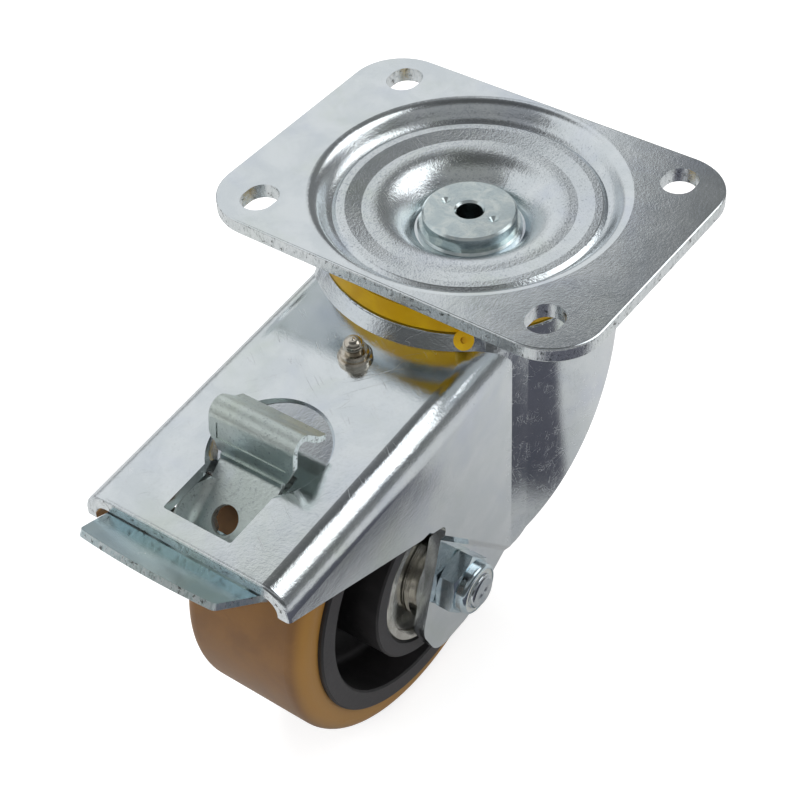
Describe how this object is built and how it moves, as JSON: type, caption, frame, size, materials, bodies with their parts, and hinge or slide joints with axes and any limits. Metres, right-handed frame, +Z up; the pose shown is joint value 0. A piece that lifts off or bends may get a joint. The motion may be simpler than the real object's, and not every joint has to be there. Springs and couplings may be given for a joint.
{
  "type": "swivel castor",
  "caption": "Heavy-duty swivel castor with a pressed steel fork, slotted top plate, ball races, ball-bearing wheel and a rear pedal that locks wheel and swivel together.",
  "frame": {"origin": "centre of the four plate slots, on the top plate's upper mounting face, on the swivel axis", "axes": "+Z up, out of the mounting face along the swivel axis; -X the way the wheel trails and the pedal points; +Y along the axle towards the bolt head"},
  "size_m": [0.2115, 0.138, 0.16],
  "materials": {
    "zinc_plate": "zinc plated, fine rolled grain, satin",
    "ball_steel": "ground and polished bearing steel",
    "nickel": "nickel plated, bright",
    "seal_plastic": "yellow moulded plastic, slightly glossy",
    "tread_polyurethane": "brown cast polyurethane, satin",
    "wheel_centre_cast": "black painted casting, matt",
    "insert_nylon": "pale nylon"
  },
  "bodies": {
    "top": {"top_plate": "zinc_plate", "kingpin": "zinc_plate", "kingpin_nut": "zinc_plate", "nut_collar": "zinc_plate", "lock_cup": "zinc_plate"},
    "swivel_fork": {"fork": "zinc_plate", "dust_seal": "seal_plastic", "upper_race_balls": "ball_steel", "lower_race_balls": "ball_steel", "grease_nipple": "nickel", "hinge_lugs": "zinc_plate", "rocker_pin": "ball_steel", "rocker_spring": "ball_steel", "slide_guide": "zinc_plate", "axle_bolt": "zinc_plate", "lock_nut": "zinc_plate", "nut_insert": "insert_nylon", "axle_tube": "zinc_plate", "side_collars": "zinc_plate", "bearing_inner_rings": "ball_steel", "bearing_spacer": "zinc_plate"},
    "wheel": {"tread": "tread_polyurethane", "wheel_centre": "wheel_centre_cast", "bearing_outer_rings": "ball_steel", "bearing_balls": "ball_steel", "bearing_shields": "ball_steel"},
    "brake": {"brake_rocker": "zinc_plate", "pedal": "zinc_plate", "brake_shoe": "zinc_plate"},
    "swivel_lock": {"lock_slide": "zinc_plate"}
  },
  "joints": [
    {"name": "swivel", "type": "hinge", "parent": "top", "child": "swivel_fork", "pos_m": [0, 0, 0], "axis": [0, 0, 1], "continuous": true},
    {"name": "wheel_spin", "type": "hinge", "parent": "swivel_fork", "child": "wheel", "pos_m": [-0.065, 0, -0.0975], "axis": [0, 1, 0], "continuous": true},
    {"name": "pedal_turn", "type": "hinge", "parent": "swivel_fork", "child": "brake", "pos_m": [-0.11, 0, -0.039], "axis": [0, 1, 0], "range_deg": [-15, 0]},
    {"name": "lock_travel", "type": "slide", "parent": "swivel_fork", "child": "swivel_lock", "axis": [1, 0, 0], "range_m": [0, 0.0024]}
  ],
  "couplings": [
    {"joint": "lock_travel", "follows": "pedal_turn", "m_per_rad": -0.0091}
  ]
}
